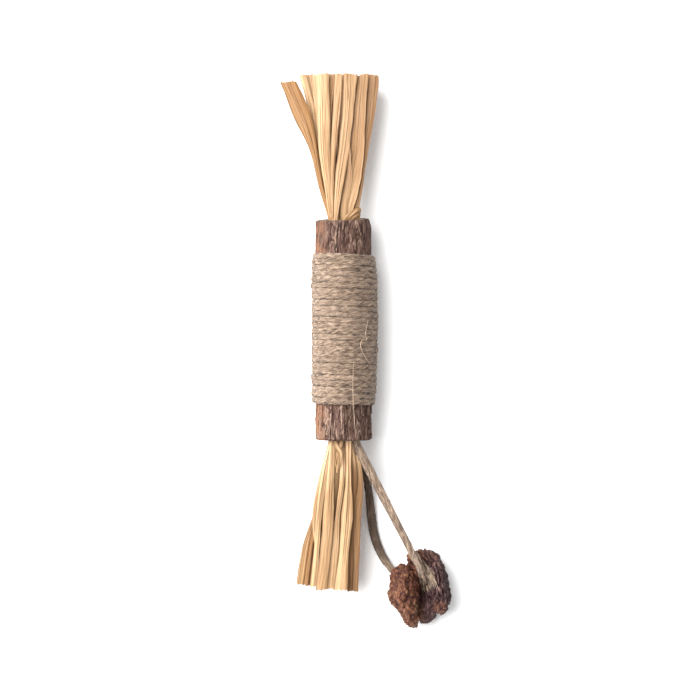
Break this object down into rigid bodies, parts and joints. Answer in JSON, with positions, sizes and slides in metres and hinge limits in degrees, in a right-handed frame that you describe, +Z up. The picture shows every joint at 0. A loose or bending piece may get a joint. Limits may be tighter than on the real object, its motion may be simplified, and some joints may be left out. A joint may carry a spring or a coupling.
{
  "type": "silvervine stick",
  "caption": "Short silvervine stem wound with jute twine, with a raffia tassel at each end and a dried gall fruit hanging on twine.",
  "frame": {"origin": "the point where the middle turn of the twine winding rests on the surface below", "axes": "+Y along the stick, towards the wide tassel; +X to the side where the gall fruit lies; +Z up from the surface that the object lies on"},
  "size_m": [0.0515, 0.1665, 0.0198],
  "materials": {
    "bark": "matte",
    "jute_twine": "matte",
    "raffia": "satin",
    "gall": "matte"
  },
  "bodies": {
    "root": {"stick": "bark", "twine_winding": "jute_twine", "front_hanging_twine": "jute_twine", "back_hanging_twine": "jute_twine", "gall_fruit": "gall", "upper_raffia_01": "raffia", "upper_raffia_02": "raffia", "upper_raffia_03": "raffia", "upper_raffia_04": "raffia", "upper_raffia_05": "raffia", "upper_raffia_06": "raffia", "upper_raffia_07": "raffia", "upper_raffia_08": "raffia", "upper_raffia_09": "raffia", "upper_raffia_10": "raffia", "upper_raffia_11": "raffia", "upper_raffia_12": "raffia", "upper_raffia_13": "raffia", "upper_raffia_14": "raffia", "upper_raffia_15": "raffia", "upper_raffia_16": "raffia", "upper_raffia_17": "raffia", "upper_raffia_18": "raffia", "upper_raffia_19": "raffia", "upper_raffia_20": "raffia", "upper_raffia_21": "raffia", "upper_raffia_22": "raffia", "upper_raffia_23": "raffia", "upper_raffia_24": "raffia", "lower_raffia_01": "raffia", "lower_raffia_02": "raffia", "lower_raffia_03": "raffia", "lower_raffia_04": "raffia", "lower_raffia_05": "raffia", "lower_raffia_06": "raffia", "lower_raffia_07": "raffia", "lower_raffia_08": "raffia", "lower_raffia_09": "raffia", "lower_raffia_10": "raffia", "lower_raffia_11": "raffia", "lower_raffia_12": "raffia", "lower_raffia_13": "raffia", "lower_raffia_14": "raffia", "lower_raffia_15": "raffia", "lower_raffia_16": "raffia", "lower_raffia_17": "raffia", "lower_raffia_18": "raffia", "lower_raffia_19": "raffia", "lower_raffia_20": "raffia"}
  },
  "joints": []
}
